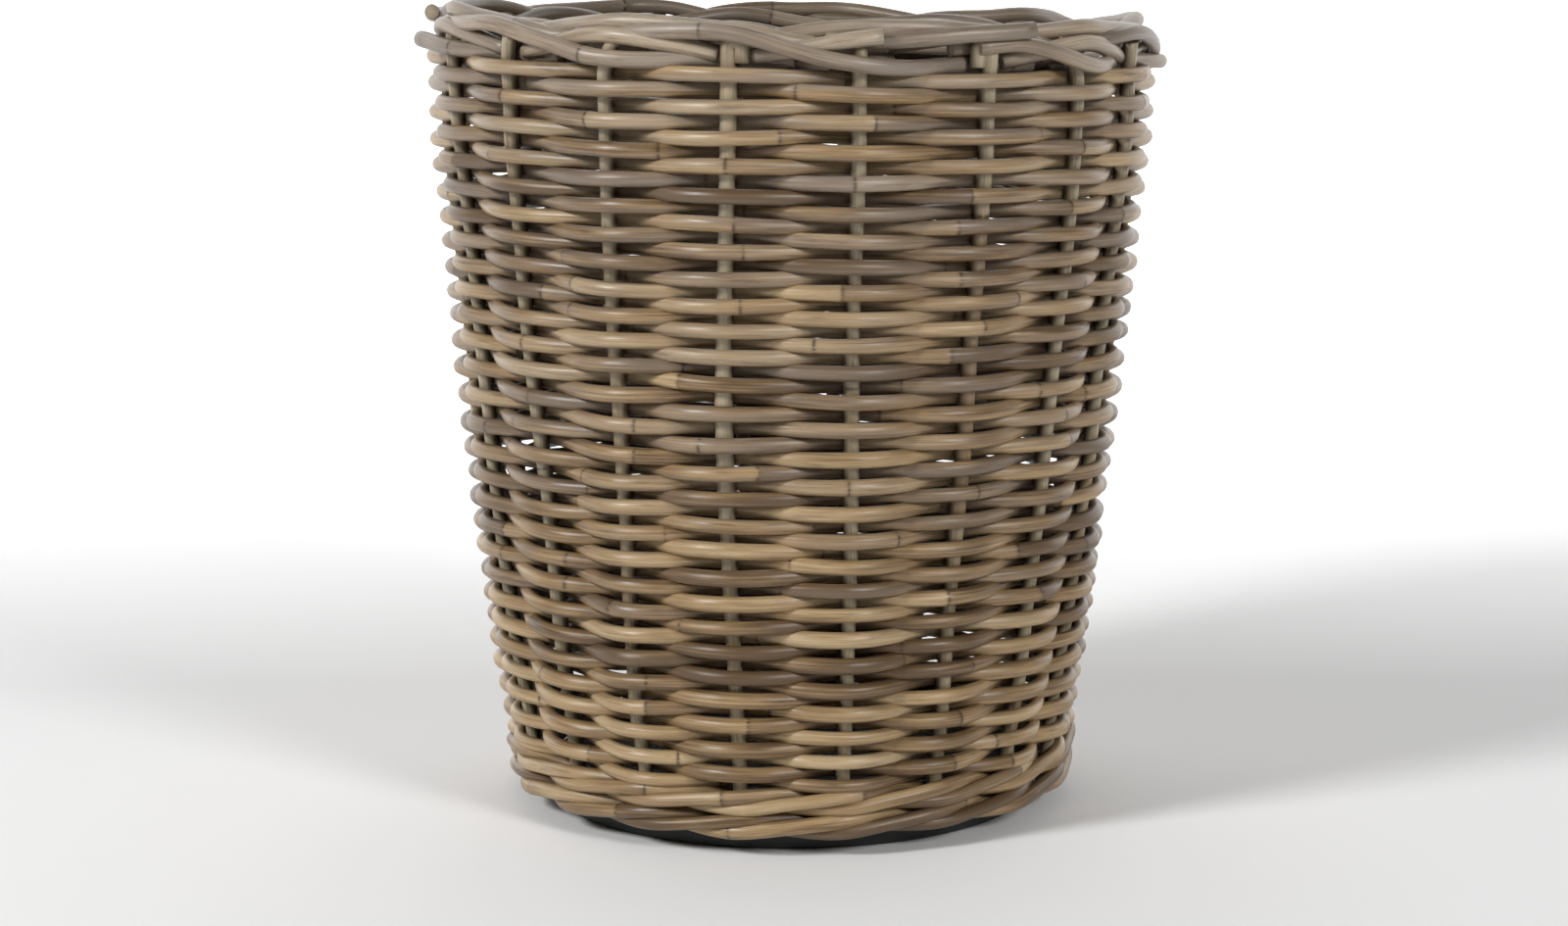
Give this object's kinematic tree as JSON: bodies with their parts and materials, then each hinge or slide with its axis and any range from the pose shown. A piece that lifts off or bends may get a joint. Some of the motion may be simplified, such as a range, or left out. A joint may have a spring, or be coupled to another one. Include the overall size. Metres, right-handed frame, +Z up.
{
  "type": "log basket",
  "caption": "Round open wicker log basket, straight-tapered and wider at the top, woven from grey-brown rattan rods on upright stakes over a dark recessed base board, with a plaited rim.",
  "frame": {"origin": "centre of the base board's flat underside", "axes": "+Z up along the basket's axis, -Y towards the front"},
  "size_m": [0.4906, 0.488, 0.5423],
  "materials": {
    "base_board": "dark stained board, smooth, low sheen",
    "rattan_stake": "pale olive-buff unpeeled rattan, satin",
    "rattan_weaver": "weathered grey-brown unpeeled rattan with dark node rings, satin",
    "rattan_wale": "golden-tan unpeeled rattan, satin",
    "rattan_border": "greyish unpeeled rattan with pale cut ends, satin"
  },
  "bodies": {
    "root": {"base_board": "base_board", "stake_01": "rattan_stake", "stake_02": "rattan_stake", "stake_03": "rattan_stake", "stake_04": "rattan_stake", "stake_05": "rattan_stake", "stake_06": "rattan_stake", "stake_07": "rattan_stake", "stake_08": "rattan_stake", "stake_09": "rattan_stake", "stake_10": "rattan_stake", "stake_11": "rattan_stake", "stake_12": "rattan_stake", "stake_13": "rattan_stake", "stake_14": "rattan_stake", "stake_15": "rattan_stake", "stake_16": "rattan_stake", "stake_17": "rattan_stake", "stake_18": "rattan_stake", "weaver_a_01": "rattan_weaver", "weaver_a_02": "rattan_weaver", "weaver_a_03": "rattan_weaver", "weaver_a_04": "rattan_weaver", "weaver_a_05": "rattan_weaver", "weaver_a_06": "rattan_weaver", "weaver_a_07": "rattan_weaver", "weaver_a_08": "rattan_weaver", "weaver_b_01": "rattan_weaver", "weaver_b_02": "rattan_weaver", "weaver_b_03": "rattan_weaver", "weaver_b_04": "rattan_weaver", "weaver_b_05": "rattan_weaver", "weaver_b_06": "rattan_weaver", "weaver_b_07": "rattan_weaver", "weaver_b_08": "rattan_weaver", "wale_01": "rattan_wale", "wale_02": "rattan_wale", "wale_03": "rattan_wale", "wale_04": "rattan_wale", "wale_05": "rattan_wale", "wale_06": "rattan_wale", "border_outer_01": "rattan_border", "border_outer_02": "rattan_border", "border_outer_03": "rattan_border", "border_outer_04": "rattan_border", "border_outer_05": "rattan_border", "border_outer_06": "rattan_border", "border_outer_07": "rattan_border", "border_outer_08": "rattan_border", "border_outer_09": "rattan_border", "border_inner_01": "rattan_border", "border_inner_02": "rattan_border", "border_inner_03": "rattan_border", "border_inner_04": "rattan_border", "border_inner_05": "rattan_border", "border_inner_06": "rattan_border", "border_inner_07": "rattan_border", "border_inner_08": "rattan_border", "border_inner_09": "rattan_border"}
  },
  "joints": []
}
